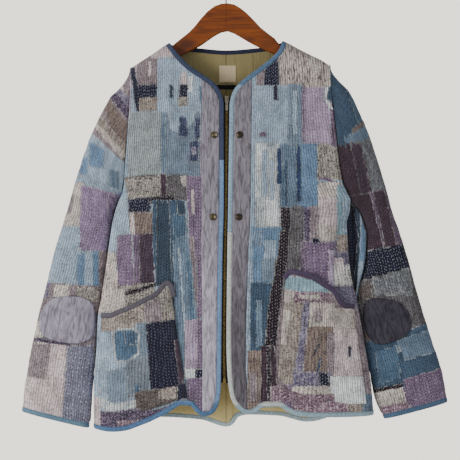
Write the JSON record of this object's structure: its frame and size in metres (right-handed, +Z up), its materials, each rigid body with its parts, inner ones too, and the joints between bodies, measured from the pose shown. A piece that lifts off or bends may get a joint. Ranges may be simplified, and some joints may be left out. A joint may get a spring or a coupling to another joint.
{
  "type": "patched boro jacket on a wooden hanger",
  "caption": "Collarless hand-quilted patchwork jacket with bound edges, linen plackets, zip, press snaps, patch pockets and elbow patches, hanging on a wooden hanger.",
  "frame": {"origin": "inner top of the hanger's hook, where it rests on a rail", "axes": "+Z up, front of the jacket faces -Y, +X towards the wearer's left side"},
  "size_m": [0.7745, 0.0793, 0.8342],
  "materials": {
    "patchwork": "matte quilted cotton patches, worn",
    "linen": "matte crinkled linen",
    "binding_dark": "matte folded cotton",
    "binding_light": "matte folded cotton, faded",
    "lining": "plain khaki cotton",
    "black_tape": "black woven tape",
    "label": "bare woven label",
    "brass": "aged brass",
    "snap_cap": "dark antique plating",
    "wood": "worn varnish",
    "hook_steel": "bright wire"
  },
  "bodies": {
    "jacket": {"hanger": "wood", "hanger_hook": "hook_steel", "front_right": "patchwork", "front_left": "patchwork", "back": "patchwork", "sleeve_right": "patchwork", "sleeve_left": "patchwork", "gusset_left": "patchwork", "pocket_right": "patchwork", "pocket_left": "patchwork", "placket_right": "linen", "placket_left": "linen", "pocket_binding_right": "linen", "pocket_binding_left": "linen", "elbow_patch_right": "linen", "elbow_patch_left": "linen", "front_binding_right": "binding_dark", "front_binding_left": "binding_light", "back_neck_binding": "binding_dark", "back_hem_binding": "binding_light", "cuff_binding_right": "binding_dark", "cuff_binding_left": "binding_dark", "back_lining": "lining", "lining_tape": "black_tape", "label": "label", "zip_tape_right": "black_tape", "zip_tape_left": "black_tape", "zip_slider": "brass", "zip_box": "brass", "snap_upper_right": "brass", "snap_lower_right": "brass", "snap_upper_left": "snap_cap", "snap_lower_left": "snap_cap"},
    "pull": {"zip_pull": "brass"}
  },
  "joints": [
    {"name": "pull_swing", "type": "hinge", "parent": "jacket", "child": "pull", "pos_m": [0.00135, -0.02357, -0.23048], "axis": [-1, 0, 0], "range_deg": [0, 150]}
  ]
}
